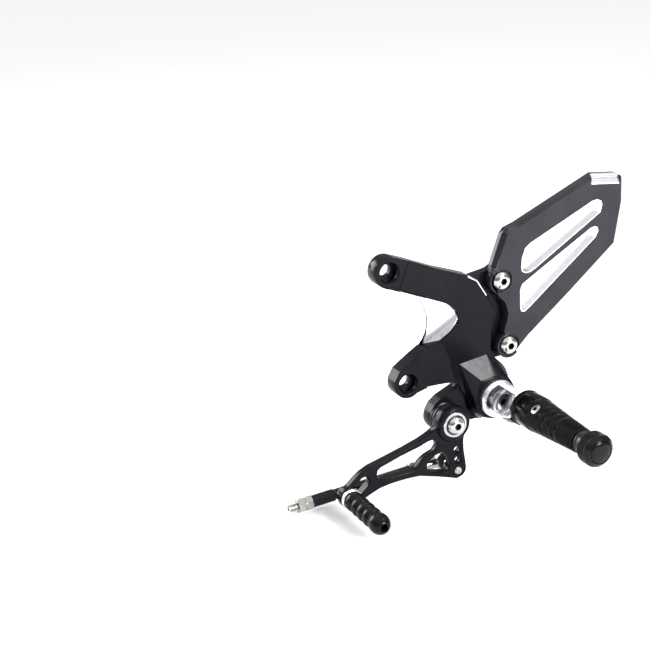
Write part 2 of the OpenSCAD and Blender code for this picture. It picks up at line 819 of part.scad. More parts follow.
hanger();
hanger_web();
bright_edge();
heel_guard();
guard_bright_faces();
guard_bolts();
peg_base();
base_bolt();
base_washer();
hinge_bolt();
hinge_nut();
peg_collar();
collar_screw();
peg_barrel();
peg_core();
peg_cap();
cap_disc();
lever();
bearing_outer();
bearing_inner();
pivot_spacer();
pivot_bolt();
pivot_nut();
toe_washer();
toe_peg();
toe_stud();
toe_nut();
ball_stud();
ball_seal();
rod_end();
rod_jam_nut();
rod_sleeve();
rod_stud();
rod_nuts();
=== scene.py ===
# %% [markdown]
# # A rear-set footrest: hanger, heel guard, folding footpeg, shift lever and linkage
# The solids were drawn in a CAD program and packed as a frame that says how big everything is and
# which pieces turn on which. This lesson dresses that frame: it gives every piece its finish,
# replaces the pieces whose surface needs more than a plain solid can show, and sets the camera
# where the photographer stood.

# %% Load the frame
import json
import math

import bmesh
import bpy
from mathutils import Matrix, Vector


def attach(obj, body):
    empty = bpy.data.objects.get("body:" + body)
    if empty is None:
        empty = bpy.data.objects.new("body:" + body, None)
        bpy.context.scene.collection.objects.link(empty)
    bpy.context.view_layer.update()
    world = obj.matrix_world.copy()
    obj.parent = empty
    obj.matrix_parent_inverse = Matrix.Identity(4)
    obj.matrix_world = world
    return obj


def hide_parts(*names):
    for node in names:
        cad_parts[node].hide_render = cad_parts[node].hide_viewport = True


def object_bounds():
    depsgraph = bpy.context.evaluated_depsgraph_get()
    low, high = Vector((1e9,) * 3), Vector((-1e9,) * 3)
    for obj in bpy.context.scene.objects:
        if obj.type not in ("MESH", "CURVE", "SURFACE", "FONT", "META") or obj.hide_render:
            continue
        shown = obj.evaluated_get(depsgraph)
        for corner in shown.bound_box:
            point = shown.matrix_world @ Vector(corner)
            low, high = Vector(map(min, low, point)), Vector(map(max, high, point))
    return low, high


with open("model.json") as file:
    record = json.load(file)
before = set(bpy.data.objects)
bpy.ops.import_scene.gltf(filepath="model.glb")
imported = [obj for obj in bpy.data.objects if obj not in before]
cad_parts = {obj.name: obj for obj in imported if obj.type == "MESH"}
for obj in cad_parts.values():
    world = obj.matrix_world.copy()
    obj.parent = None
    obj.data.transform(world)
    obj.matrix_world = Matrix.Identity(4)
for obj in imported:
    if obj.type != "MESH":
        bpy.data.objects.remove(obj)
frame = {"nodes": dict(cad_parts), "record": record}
cad_box = [list(corner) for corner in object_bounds()]
nodes = frame["nodes"]
slot_of = {row["node"]: row["material_slot"] for row in frame["record"]["subparts"]}
body_of = {}
for body, members in frame["record"]["behaviour"]["bodies"].items():
    for member in members:
        body_of[member] = body
MM = 0.001
print("loaded", len(nodes), "nodes; box", cad_box)

# %% [markdown]
# ## The camera
# The photograph looks at the outer side of the part from the front and a little from above. Its
# mounting bores, which are round in life, show as ellipses, and their shape gives the two angles.
# A long lens some way off keeps the footpeg, which comes towards us, from looking too big.

# %% Camera
PHOTO_SIDE = 650
FOCAL_IN_PIXELS = 1400
SENSOR = 36
CAMERA_PLACE = (-0.4487, -0.8546, 0.2793)
CAMERA_TURN = (71.55, 0, -25.3)
camera_data = bpy.data.cameras.new("photo_camera")
camera_data.sensor_width = SENSOR
camera_data.lens = FOCAL_IN_PIXELS * SENSOR / PHOTO_SIDE
camera = bpy.data.objects.new("photo_camera", camera_data)
camera.location = CAMERA_PLACE
camera.rotation_euler = [math.radians(angle) for angle in CAMERA_TURN]
bpy.context.scene.collection.objects.link(camera)
bpy.context.scene.camera = camera
print("lens", round(camera_data.lens, 2), "mm")

# %% [markdown]
# ## Floor and light
# The part stands on a pale studio floor. Black metal shows almost nothing of its own colour, only
# what it mirrors. The sky is bright overhead and dim at the horizon, like the cloth roof of a light
# tent: it keeps the floor white and leaves something dark for the bright metal to mirror. Five soft
# panels then light one family of facets each.

# %% Floor
FLOOR_GAP = 0.0005
FLOOR_SIZE = 14
FLOOR_COLOR = (0.95, 0.95, 0.95, 1)
floor_z = cad_box[0][2] - FLOOR_GAP
bpy.ops.object.select_all(action="DESELECT")
bpy.ops.mesh.primitive_plane_add(size=FLOOR_SIZE, location=(0, 0, floor_z))
floor = bpy.context.object
floor.name = "studio_floor"
floor_finish = bpy.data.materials.new("pale_floor")
floor_finish.use_nodes = True
floor_shader = floor_finish.node_tree.nodes["Principled BSDF"]
floor_shader.inputs["Base Color"].default_value = FLOOR_COLOR
floor_shader.inputs["Roughness"].default_value = 0.9
floor_shader.inputs["Specular IOR Level"].default_value = 0.1
floor.data.materials.append(floor_finish)
print("floor at", round(floor_z / MM, 1), "mm")

# %% Sky
HORIZON_COLOR = (0.22, 0.225, 0.24, 1)
ZENITH_COLOR = (1, 1, 1, 1)
DIM_BELOW = 0.35
BRIGHT_ABOVE = 0.8
SKY_STRENGTH = 1.32
world = bpy.data.worlds.new("studio")
world.use_nodes = True
sky = world.node_tree
direction = sky.nodes.new("ShaderNodeTexCoord")
split = sky.nodes.new("ShaderNodeSeparateXYZ")
sky_ramp = sky.nodes.new("ShaderNodeValToRGB")
sky_ramp.color_ramp.elements[0].position = DIM_BELOW
sky_ramp.color_ramp.elements[0].color = HORIZON_COLOR
sky_ramp.color_ramp.elements[1].position = BRIGHT_ABOVE
sky_ramp.color_ramp.elements[1].color = ZENITH_COLOR
sky.links.new(direction.outputs["Generated"], split.inputs["Vector"])
sky.links.new(split.outputs["Z"], sky_ramp.inputs["Fac"])
sky.links.new(sky_ramp.outputs["Color"], sky.nodes["Background"].inputs["Color"])
sky.nodes["Background"].inputs["Strength"].default_value = SKY_STRENGTH
bpy.context.scene.world = world
bpy.context.scene.view_settings.view_transform = "Standard"
print("sky strength", SKY_STRENGTH)

# %% Soft panels
OBJECT_MIDDLE = Vector((0.08, -0.06, -0.06))


def soft_panel(name, place, width, height, power):
    """An area light at place that faces the middle of the object."""
    light = bpy.data.lights.new(name, "AREA")
    light.shape = "RECTANGLE"
    light.size = width
    light.size_y = height
    light.energy = power
    lamp = bpy.data.objects.new(name, light)
    lamp.location = place
    lamp.rotation_euler = (OBJECT_MIDDLE - Vector(place)).to_track_quat("-Z", "Y").to_euler()
    bpy.context.scene.collection.objects.link(lamp)
    return lamp


# Name, place in metres, width, height and watts.
panels = [
    soft_panel("overhead_panel", (0.5, -0.45, 1.0), 0.25, 0.2, 3),
    soft_panel("facet_panel", (0.56, -1.56, 0.58), 0.5, 0.45, 44),
    soft_panel("back_left_panel", (-0.95, 1.35, 0.36), 0.4, 0.95, 16),
    soft_panel("rear_panel", (1.0, 0.3, 0.55), 0.2, 0.8, 2),
    soft_panel("clevis_panel", (-0.58, 1.5, 0.5), 0.4, 0.6, 10),
]
print("panels", [panel.name for panel in panels])

# %% [markdown]
# ## Finishes
# Most of the part is aluminium that was milled, blasted with fine beads and anodised black. The
# grain of the blasting is finer than a tenth of a millimetre, and it is what keeps the black from
# looking like plastic. Machined faces that were cut after anodising are left bare and bright, with
# the fine lines of the cutter. Every finish reads the object's own coordinates in metres, so a
# pattern stays put when a joint turns.

# %% Helpers for the finishes
def new_finish(name, color, metallic, roughness):
    """A material with its shader, and a texture coordinate node to drive patterns from."""
    finish = bpy.data.materials.new(name)
    finish.use_nodes = True
    tree = finish.node_tree
    shader = tree.nodes["Principled BSDF"]
    shader.inputs["Base Color"].default_value = (*color, 1)
    shader.inputs["Metallic"].default_value = metallic
    shader.inputs["Roughness"].default_value = roughness
    coords = tree.nodes.new("ShaderNodeTexCoord")
    return finish, tree, shader, coords


def noise_from(tree, coords, scale, stretch=(1, 1, 1), detail=2.0):
    """Noise with about scale cells to a metre; stretch makes them long or short on each axis."""
    mapping = tree.nodes.new("ShaderNodeMapping")
    mapping.inputs["Scale"].default_value = stretch
    noise = tree.nodes.new("ShaderNodeTexNoise")
    noise.inputs["Scale"].default_value = scale
    noise.inputs["Detail"].default_value = detail
    tree.links.new(coords.outputs["Object"], mapping.inputs["Vector"])
    tree.links.new(mapping.outputs["Vector"], noise.inputs["Vector"])
    return noise


def vary_color(tree, shader, noise, dark, light):
    """Lets the colour wander between two tones with the noise."""
    ramp = tree.nodes.new("ShaderNodeValToRGB")
    ramp.color_ramp.elements[0].position = 0.35
    ramp.color_ramp.elements[1].position = 0.65
    ramp.color_ramp.elements[0].color = (*dark, 1)
    ramp.color_ramp.elements[1].color = (*light, 1)
    tree.links.new(noise.outputs["Fac"], ramp.inputs["Fac"])
    tree.links.new(ramp.outputs["Color"], shader.inputs["Base Color"])


def vary_roughness(tree, shader, noise, low, high):
    """Lets the roughness wander between two values with the noise."""
    span = tree.nodes.new("ShaderNodeMapRange")
    span.inputs["From Min"].default_value = 0.3
    span.inputs["From Max"].default_value = 0.7
    span.inputs["To Min"].default_value = low
    span.inputs["To Max"].default_value = high
    tree.links.new(noise.outputs["Fac"], span.inputs["Value"])
    tree.links.new(span.outputs["Result"], shader.inputs["Roughness"])


def add_bumps(tree, shader, layers):
    """Bumps from a list of (noise, strength, height in metres), each on top of the last."""
    before = None
    for noise, strength, height in layers:
        bump = tree.nodes.new("ShaderNodeBump")
        bump.inputs["Strength"].default_value = strength
        bump.inputs["Distance"].default_value = height
        tree.links.new(noise.outputs["Fac"], bump.inputs["Height"])
        if before:
            tree.links.new(before.outputs["Normal"], bump.inputs["Normal"])
        before = bump
    tree.links.new(before.outputs["Normal"], shader.inputs["Normal"])


# %% Black anodised finishes
def blasted_black(name, color, mirror):
    """Satin black of the hanger, the heel guard and the lever; mirror is how much it reflects."""
    finish, tree, shader, coords = new_finish(name, color, 0.0, 0.3)
    shader.inputs["Specular IOR Level"].default_value = mirror
    grain = noise_from(tree, coords, 9000, detail=1.0)
    cloud = noise_from(tree, coords, 60)
    vary_color(tree, shader, cloud, tuple(0.85 * c for c in color), tuple(1.15 * c for c in color))
    vary_roughness(tree, shader, noise_from(tree, coords, 240), 0.2, 0.26)
    add_bumps(tree, shader, [(grain, 0.12, 0.00003)])
    return finish


def turned_black(name, mirror):
    """Glossy black of the footpeg and the toe peg, with the rings that a lathe leaves."""
    finish, tree, shader, coords = new_finish(name, (0.004, 0.004, 0.005), 0.0, 0.2)
    shader.inputs["Specular IOR Level"].default_value = mirror
    rings = noise_from(tree, coords, 2500, (0.002, 1, 0.002), 1.0)
    cloud = noise_from(tree, coords, 90)
    vary_color(tree, shader, cloud, (0.003, 0.003, 0.004), (0.006, 0.0055, 0.007))
    vary_roughness(tree, shader, cloud, 0.16, 0.26)
    add_bumps(tree, shader, [(rings, 0.15, 0.00002)])
    return finish


def black_steel():
    """Blackened steel of the peg's core, the base screw and the bearing's inner ring, where it is
    painted shadow.
    """
    finish, tree, shader, coords = new_finish("blackened_steel", (0.012, 0.012, 0.013), 0.3, 0.35)
    cloud = noise_from(tree, coords, 300, detail=4.0)
    vary_color(tree, shader, cloud, (0.008, 0.008, 0.009), (0.018, 0.0175, 0.017))
    vary_roughness(tree, shader, cloud, 0.26, 0.42)
    add_bumps(tree, shader, [(cloud, 0.2, 0.00004)])
    return finish


def drawn_black():
    """Black of the hexagonal sleeve, drawn along its length."""
    finish, tree, shader, coords = new_finish("drawn_black", (0.007, 0.007, 0.009), 0.0, 0.28)
    shader.inputs["Specular IOR Level"].default_value = 0.2
    lines = noise_from(tree, coords, 3000, (0.01, 1, 1), 1.0)
    cloud = noise_from(tree, coords, 80)
    vary_color(tree, shader, cloud, (0.005, 0.005, 0.006), (0.009, 0.009, 0.011))
    vary_roughness(tree, shader, cloud, 0.22, 0.34)
    add_bumps(tree, shader, [(lines, 0.2, 0.00002)])
    return finish


def moulded_rubber():
    """Dull black of the ball joint's seal, a little dusty in patches."""
    finish, tree, shader, coords = new_finish("moulded_rubber", (0.012, 0.012, 0.012), 0.0, 0.6)
    shader.inputs["Specular IOR Level"].default_value = 0.3
    cloud = noise_from(tree, coords, 900, detail=3.0)
    vary_color(tree, shader, cloud, (0.009, 0.009, 0.009), (0.02, 0.02, 0.019))
    vary_roughness(tree, shader, cloud, 0.5, 0.7)
    add_bumps(tree, shader, [(cloud, 0.2, 0.00003)])
    return finish


# %% Bare metal finishes
def bare_metal(name, color, low, high, cutter, cutter_strength, mottle=200):
    """Bright metal; cutter is the stretch of the tool lines, mottle the scale of its cloudiness."""
    dark = tuple(0.92 * c for c in color)
    finish, tree, shader, coords = new_finish(name, color, 1.0, low)
    cloud = noise_from(tree, coords, mottle, detail=3.0)
    lines = noise_from(tree, coords, 3500, cutter, 1.0)
    vary_color(tree, shader, cloud, dark, color)
    vary_roughness(tree, shader, lines, low, high)
    add_bumps(tree, shader, [(lines, cutter_strength, 0.00002)])
    return finish


# %% One finish for each material of the frame
# How the fine lines are stretched: round a lathe's axis, along a mill's path, or not at all.
LATHE = (0.01, 1, 0.01)
MILL = (0.004, 1, 0.004)
PLATED = (1, 1, 1)

aluminium = bare_metal("machined_bare", (0.84, 0.85, 0.87), 0.2, 0.34, MILL, 0.2)
stainless = bare_metal("stainless_screw", (0.54, 0.53, 0.51), 0.12, 0.22, LATHE, 0.15, 500)
ground = bare_metal("ground_steel", (0.62, 0.62, 0.63), 0.08, 0.16, LATHE, 0.08)
zinc = bare_metal("zinc_plate", (0.42, 0.41, 0.39), 0.18, 0.32, PLATED, 0.15, 700)
finishes = {
    "black_anodised": blasted_black("blasted_black", (0.0045, 0.0042, 0.0065), 0.1),
    "seal_rubber": moulded_rubber(),
    "peg_black": turned_black("turned_black", 0.14),
    "black_steel": black_steel(),
    "sleeve_black": drawn_black(),
    "machined_bare": aluminium,
    "screw_steel": stainless,
    "bearing_steel": ground,
    "zinc_steel": zinc,
}

for name, node in nodes.items():
    node.data.materials.clear()
    node.data.materials.append(finishes[slot_of[name]])
print("finishes", sorted(finishes))

# %% Finishes for single pieces
# These pieces differ from others of their material. The heel guard gets a lighter copy of the black
# as painted light, for the way its face catches the light, and the inside of a socket is painted
# darker than its screw as painted shade in the hole.
glossy_finish = turned_black("glossy_black", 0.18)
# The heel guard's black is about four times lighter than the hanger's: painted light, for the way
# its tilted face catches the light.
guard_painted_light_finish = blasted_black("blasted_black_guard_painted_light", (0.018, 0.0172, 0.023), 0.19)
nut_finish = blasted_black("black_oxide_nut", (0.008, 0.008, 0.008), 0.15)
# The socket's steel is painted dark: it is painted shade in the hole, not a darker metal.
painted_socket_shade = bare_metal("socket_painted_shade", (0.05, 0.05, 0.05), 0.35, 0.5, PLATED, 0.2, 900)
hinge_finish = bare_metal("hinge_steel", (0.4, 0.4, 0.41), 0.2, 0.3, LATHE, 0.2, 900)
polished_finish = bare_metal("polished_steel", (0.86, 0.86, 0.88), 0.25, 0.35, LATHE, 0.1, 500)
nodes["toe_nut"].data.materials[0] = nut_finish
# The bearing's inner ring gets the blackened steel as painted shadow: it stands for the shadow
# under the bearing's seal, a dark ring between the screw's dome and the bright outer ring.
nodes["bearing_inner"].data.materials[0] = finishes["black_steel"]
print("the toe peg's nut and the bearing's inner ring are black")

# %% [markdown]
# ## Finishing a piece
# An operator acts on all that is selected, so each step first selects one piece alone. A finished
# piece is shaded smooth, but its edges over some angle stay sharp: a small angle suits knurling,
# a large one suits soft shapes. It gets the finish of the CAD node that it stands for, and rides
# on the same body, so that it moves with the right joint.

# %% Select and dress
# Edges that fold by more degrees than these stay sharp.
KNURLED = 20
MACHINED = 30
ROUNDED = 35
ALL_SMOOTH = 180


def clear_selection():
    """Leaves object mode with nothing selected, because operators act on all that is selected."""
    if bpy.context.object and bpy.context.object.mode != "OBJECT":
        bpy.ops.object.mode_set(mode="OBJECT")
    bpy.ops.object.select_all(action="DESELECT")


def make_active(piece):
    """Selects one piece alone."""
    clear_selection()
    piece.select_set(True)
    bpy.context.view_layer.objects.active = piece


def dress(piece, angle, *stands_for, finish=None):
    """Finishes a piece and lets it ride on the body of the nodes that it stands for.

    A piece that already has a second finish, inside its socket, keeps both.
    """
    make_active(piece)
    bpy.ops.object.shade_smooth_by_angle(angle=math.radians(angle))
    first = stands_for[0]
    if len(piece.data.materials) < 2:
        piece.data.materials.clear()
        piece.data.materials.append(finish or finishes[slot_of[first]])
    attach(piece, body_of[first])
    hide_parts(*stands_for)
    print(piece.name, len(piece.data.polygons), "faces")


# %% [markdown]
# ## Edges that have been broken
# No machined edge is really sharp: a chamfer a few tenths of a millimetre wide catches the light
# and draws the outline of each plate. The CAD solids have sharp edges, so the plates, the lever and
# the plain turned pieces are copied, their loose triangles are joined back into whole faces, and
# the sharp outer edges get a small bevel. Where two broad facets meet at a shallow angle the edge
# is marked sharp instead, so that both facets stay flat and the crease between them shows.

# %% Copy with broken edges
# Distances are in millimetres, angles in degrees, and a broad face's area in square metres.
MERGE_DISTANCE = 0.002
FLAT_ANGLE = 0.4
FACET_ANGLE = 1
CREASE_ANGLE = 12
BROKEN_ANGLE = 32
BROAD_FACE = 60e-6
BEVEL_STEPS = 2


def eased_copy(node, name, width):
    """A copy of a CAD node whose sharp outer edges have a bevel of that width in millimetres."""
    clear_selection()
    piece = bpy.data.objects.new(name, nodes[node].data.copy())
    bpy.context.scene.collection.objects.link(piece)
    make_active(piece)
    bpy.ops.object.mode_set(mode="EDIT")
    bpy.ops.mesh.select_all(action="SELECT")
    bpy.ops.mesh.remove_doubles(threshold=MERGE_DISTANCE * MM)
    bpy.ops.mesh.dissolve_limited(angle_limit=math.radians(FLAT_ANGLE))
    bpy.ops.mesh.select_all(action="DESELECT")
    bpy.ops.mesh.select_mode(type="EDGE")
    mesh = bmesh.from_edit_mesh(piece.data)
    for edge in mesh.edges:
        if not edge.is_manifold:
            continue
        fold = math.degrees(edge.calc_face_angle_signed())
        broad = min(face.calc_area() for face in edge.link_faces) > BROAD_FACE
        if fold > BROKEN_ANGLE:
            edge.select_set(True)
        elif abs(fold) > CREASE_ANGLE or (broad and abs(fold) > FACET_ANGLE):
            edge.smooth = False
    bmesh.update_edit_mesh(piece.data)
    bpy.ops.mesh.bevel(
        offset=width * MM, segments=BEVEL_STEPS, affect="EDGES", clamp_overlap=False
    )
    mesh = bmesh.from_edit_mesh(piece.data)
    for edge in mesh.edges:
        if any(face.calc_area() > BROAD_FACE for face in edge.link_faces):
            edge.smooth = False
    bmesh.update_edit_mesh(piece.data)
    bpy.ops.mesh.select_mode(type="VERT")
    bpy.ops.object.mode_set(mode="OBJECT")
    return piece


# %% Pieces with broken edges
# The CAD node, the name of its copy, and the width of the bevel in millimetres.
EASED_PIECES = [
    ("hanger", "hanger_plate", 0.4),
    ("heel_guard", "guard_plate", 0.3),
    ("lever", "shift_lever", 0.45),
    ("peg_base", "peg_clevis", 0.25),
    ("peg_collar", "smooth_collar", 0.2),
    ("base_washer", "serrated_disc", 0.15),
    ("hanger_web", "bare_web", 0.2),
    ("toe_washer", "grooved_washer", 0.2),
]
for node, name, width in EASED_PIECES:
    # The heel guard takes the lighter copy of the black, which is painted light.
    own_finish = guard_painted_light_finish if node == "heel_guard" else None
    dress(eased_copy(node, name, width), ALL_SMOOTH, node, finish=own_finish)

# %% Bare edge of the body
# The lower part of this bare edge is given the black anodise, so the bright strip stops halfway
# down.
FADE_BELOW = -26.6
EDGE_EASE = 0.05
edge_strip = eased_copy("bright_edge", "bare_edge", EDGE_EASE)
make_active(edge_strip)
bpy.ops.object.mode_set(mode="EDIT")
bpy.ops.mesh.select_all(action="SELECT")
bpy.ops.mesh.bisect(plane_co=(0, 0, FADE_BELOW * MM), plane_no=(0, 0, 1))
bpy.ops.object.mode_set(mode="OBJECT")
dress(edge_strip, ALL_SMOOTH, "bright_edge")
edge_strip.data.materials.append(finishes["black_anodised"])
for face in edge_strip.data.polygons:
    if face.center.z < FADE_BELOW * MM:
        face.material_index = 1

# %% [markdown]
# ## Turned pieces
# Turned pieces start as a circle that is extruded and scaled ring by ring, which is how a lathe
# builds up a profile. They are made along Z at the origin, then laid along their axis and moved to
# their place, and then both are applied to the mesh. What a drill takes away is a turned shape
# too, which is cut out of the piece.

# %% Turn, place and cut
def turned(name, profile, segments=64):
    """A piece turned about Z from a list of (radius, height) in millimetres, closed at the ends."""
    clear_selection()
    first_radius, first_height = profile[0]
    bpy.ops.mesh.primitive_circle_add(
        vertices=segments, radius=first_radius * MM, fill_type="NGON",
        location=(0, 0, first_height * MM)
    )
    piece = bpy.context.object
    piece.name = name
    bpy.ops.object.transform_apply(location=True, rotation=True, scale=True)
    bpy.ops.object.mode_set(mode="EDIT")
    bpy.ops.mesh.select_all(action="SELECT")
    for (radius, height), (next_radius, next_height) in zip(profile, profile[1:]):
        rise = (next_height - height) * MM
        bpy.ops.mesh.extrude_region_move(TRANSFORM_OT_translate={"value": (0, 0, rise)})
        grow = next_radius / radius
        bpy.ops.transform.resize(value=(grow, grow, 1), center_override=(0, 0, next_height * MM))
    bpy.ops.mesh.select_all(action="SELECT")
    bpy.ops.mesh.normals_make_consistent(inside=False)
    bpy.ops.object.mode_set(mode="OBJECT")
    return piece


def set_in_place(piece, place, turn):
    """Turns a piece by degrees, moves it to a place in millimetres, and applies both."""
    make_active(piece)
    piece.rotation_euler = [math.radians(angle) for angle in turn]
    piece.location = [value * MM for value in place]
    bpy.ops.object.transform_apply(location=True, rotation=True, scale=True)


def lay_outward(piece, x, y, z):
    """Lays a piece that was made along Z out along -Y, with its foot at that place."""
    set_in_place(piece, (x, y, z), (90, 0, 0))


def with_tool(piece, tool, operation):
    """Cuts, joins or intersects a piece with a tool of its own, and deletes the tool."""
    make_active(piece)
    modifier = piece.modifiers.new("tool", "BOOLEAN")
    modifier.operation = operation
    modifier.solver = "EXACT"
    modifier.object = tool
    bpy.ops.object.modifier_apply(modifier=modifier.name)
    bpy.data.objects.remove(tool)


# %% [markdown]
# ## Footpeg
# The sole of a boot would slide off smooth metal, so the barrel and the rim of the cap are knurled:
# a wheel presses crossing grooves into the turning metal, and small pyramids stand up between them.
# Here the barrel is turned with one ring every 0.75 mm, and every other vertex of each ring is
# raised. The low vertices are then connected, so that each raised one is the tip of a four-sided
# pyramid in real geometry. Four smooth grooves run around the barrel, and the spot face of the
# collar's side screw cuts a little way into its inner end.

# %% Knurling
def select_every_other(piece, rings, segments, start):
    """Selects every other vertex of some rings; the next ring starts one vertex further on."""
    bpy.ops.mesh.select_all(action="DESELECT")
    mesh = bmesh.from_edit_mesh(piece.data)
    mesh.verts.ensure_lookup_table()
    for ring in rings:
        for column in range((ring + start) % 2, segments, 2):
            mesh.verts[ring * segments + column].select_set(True)
    bmesh.update_edit_mesh(piece.data)


def raise_diamonds(piece, rings, segments, height, skip=()):
    """Raises every other vertex of the rings, and connects the low ones around each of them."""
    make_active(piece)
    bpy.ops.object.mode_set(mode="EDIT")
    knurled = [ring for ring in rings if ring not in skip]
    select_every_other(piece, knurled, segments, 0)
    bpy.ops.transform.shrink_fatten(value=height * MM)
    select_every_other(piece, rings, segments, 1)
    bpy.ops.mesh.vert_connect()
    bpy.ops.object.mode_set(mode="OBJECT")


# %% Rings of the barrel
PEG_X = 91.139
PEG_Z = -101.484
BARREL_START = -76
BARREL_LENGTH = 50.7
BARREL_RADIUS = 13
BARREL_TIP_RADIUS = 9.5
BORE_RADIUS = 5.05
KNURL_STEP = 0.75
KNURL_SINK = 0.5
GROOVES = [10.4, 17.3, 24.2, 31.1]
GROOVE_HALF_WIDTH = 1.25
GROOVE_DEPTH = 0.75


def groove_depth(height):
    """How deep the nearest smooth groove is at this height along the barrel."""
    nearest = min(abs(height - groove) for groove in GROOVES)
    return GROOVE_DEPTH * max(0, 1 - (nearest / GROOVE_HALF_WIDTH) ** 4) ** 0.5


profile = [(BORE_RADIUS, 0)]
smooth_rings = [0]
height = 0.0
while height <= BARREL_LENGTH - 0.05:
    taper = (BARREL_RADIUS - BARREL_TIP_RADIUS) * height / BARREL_LENGTH
    core = BARREL_RADIUS - KNURL_SINK - taper
    depth = groove_depth(height)
    if depth > 0.05 or height == 0.0:
        smooth_rings.append(len(profile))
    profile.append((core - depth, height))
    height = round(height + KNURL_STEP, 4)
smooth_rings.append(len(profile) - 1)
profile.append((BORE_RADIUS, BARREL_LENGTH))
print("barrel has", len(profile), "rings,", len(smooth_rings), "of them smooth")

# %% Knurled barrel
KNURL_COLUMNS = 104
KNURL_HEIGHT = 0.55
barrel = turned("knurled_barrel", profile, KNURL_COLUMNS)
raise_diamonds(barrel, range(1, len(profile) - 1), KNURL_COLUMNS, KNURL_HEIGHT, smooth_rings)
lay_outward(barrel, PEG_X, BARREL_START, PEG_Z)

# The drill of the collar's side screw has three steps: thread, screw head and spot face.
SIDE_SCREW_Y = -79.5
SIDE_SCREW_TURN = (0, -44.2, 0)
drill = turned("drill", [(3, 5.2), (3, 6.6), (4.6, 6.61), (4.6, 12.3), (5.6, 12.31), (5.6, 22)])
set_in_place(drill, (PEG_X, SIDE_SCREW_Y, PEG_Z), SIDE_SCREW_TURN)
with_tool(barrel, drill, "DIFFERENCE")
dress(barrel, KNURLED, "peg_barrel", finish=glossy_finish)

# %% Knurled cap
CAP_START = -133.7
CAP_RIM = 11.85
CAP_COLUMNS = 96
CAP_ROWS = 12
CAP_STEP = 0.68
CAP_KNURL_HEIGHT = 0.5
cap_back = [(BORE_RADIUS, 0), (8.2, 0), (CAP_RIM - 0.3, 3.5)]
cap_rim = [(CAP_RIM - 0.1, 3.9 + CAP_STEP * row) for row in range(CAP_ROWS)]
cap_front = [(12.0, 11.6), (11.7, 12.4), (9, 15), (8.5, 15.3), (8.3, 15), (8.1, 14.4)]
cap_profile = [*cap_back, *cap_rim, *cap_front, (BORE_RADIUS, 14.4)]
cap = turned("knurled_cap", cap_profile, CAP_COLUMNS)
knurled_rings = range(len(cap_back), len(cap_back) + CAP_ROWS)
raise_diamonds(cap, knurled_rings, CAP_COLUMNS, CAP_KNURL_HEIGHT)
lay_outward(cap, PEG_X, CAP_START, PEG_Z)
dress(cap, KNURLED, "peg_cap", finish=glossy_finish)

# %% Domed disc in the cap
DISC_SEAT = 14.4


def smooth_profile(points, step=0.5):
    """The same profile with points added along a curve that runs through all of them."""
    fine = []
    for index in range(len(points) - 1):
        before = points[max(index - 1, 0)]
        start = points[index]
        end = points[index + 1]
        after = points[min(index + 2, len(points) - 1)]
        parts = max(1, round(math.dist(start, end) / step))
        for part in range(parts):
            t = part / parts
            fine.append(tuple(
                0.5 * (2 * b + (c - a) * t + (2 * a - 5 * b + 4 * c - d) * t ** 2
                       + (3 * b - a - 3 * c + d) * t ** 3)
                for a, b, c, d in zip(before, start, end, after)
            ))
    fine.append(points[-1])
    return fine


disc_dome = smooth_profile([(7.2, 1.1), (5, 1.7), (2.6, 2.0), (0.2, 2.1)])
disc = turned("domed_disc", [(8.05, 0), (8.05, 0.4), (7.9, 0.62), *disc_dome])
lay_outward(disc, PEG_X, CAP_START - DISC_SEAT, PEG_Z)
dress(disc, MACHINED, "cap_disc", finish=glossy_finish)

# %% Core with its smooth neck
core_profile = [
    (5, -10), (5, 50.7), (7.7, 50.71), (8, 51), (8, 52.6), (7.8, 52.8), (7.2, 53.1),
    (7.2, 53.5), (7.8, 53.8), (8, 54), (8, 57.5), (7.8, 57.7), (5, 57.71), (5, 67.7),
]
peg_core = turned("peg_core_bar", core_profile)
lay_outward(peg_core, PEG_X, BARREL_START, PEG_Z)
dress(peg_core, MACHINED, "peg_core")

# %% [markdown]
# ## Screws, nuts and threads
# The dome of a button screw is one smooth curve with a hexagonal socket in it. A nut's corners are
# turned off at both ends, which leaves a curved edge on each flat. Threads are cut as real rings,
# because they show at the ends of the rod and behind the hanger.

# %% Hexagons and sockets
def hexagon(name, across_flats, bottom, top):
    """A plain hexagonal bar along Z with a corner on the X axis."""
    corner = across_flats / math.sqrt(3)
    bar = turned(name, [(corner, bottom), (corner, top)], 6)
    set_in_place(bar, (0, 0, 0), (0, 0, 90))
    return bar


def cut_socket(head, key, bottom, top, finish):
    """Cuts a hexagonal socket into a screw's head, and paints its inside darker than the head as
    painted shade in the hole.
    """
    with_tool(head, hexagon("key", key, bottom, top), "DIFFERENCE")
    head.data.materials.append(finish)
    head.data.materials.append(painted_socket_shade)
    # The walls and the floor of the socket get the painted shade.
    for face in head.data.polygons:
        inside = math.hypot(face.center.x, face.center.y) < 0.58 * key * MM
        wall = abs(face.normal.z) < 0.01
        floor_of_socket = abs(face.center.z - bottom * MM) < 0.01 * MM
        if inside and (wall or floor_of_socket):
            face.material_index = 1


# %% Threads
def threaded_bar(name, radius, pitch, bottom, top, segments=40):
    """A threaded bar along Z: one ridge for each pitch, and a small chamfer at each end."""
    root = radius - 0.58 * pitch
    profile = [(root, bottom), (root + 0.1, bottom + 0.15 * pitch)]
    height = bottom + 0.2 * pitch
    while height + 1.1 * pitch < top:
        profile.append((root, height + 0.1 * pitch))
        profile.append((radius, height + 0.46 * pitch))
        profile.append((radius, height + 0.6 * pitch))
        profile.append((root, height + 0.96 * pitch))
        height += pitch
    profile.append((root + 0.1, top - 0.1 * pitch))
    profile.append((root - 0.1, top))
    return turned(name, profile, segments)


def joined(pieces):
    """Joins pieces into the first of them."""
    make_active(pieces[0])
    for piece in pieces[1:]:
        piece.select_set(True)
    bpy.ops.object.join()
    return bpy.context.object


# %% Button screws
THREAD_RADIUS = 4
THREAD_PITCH = 1.25
BUTTON_KEY = 5


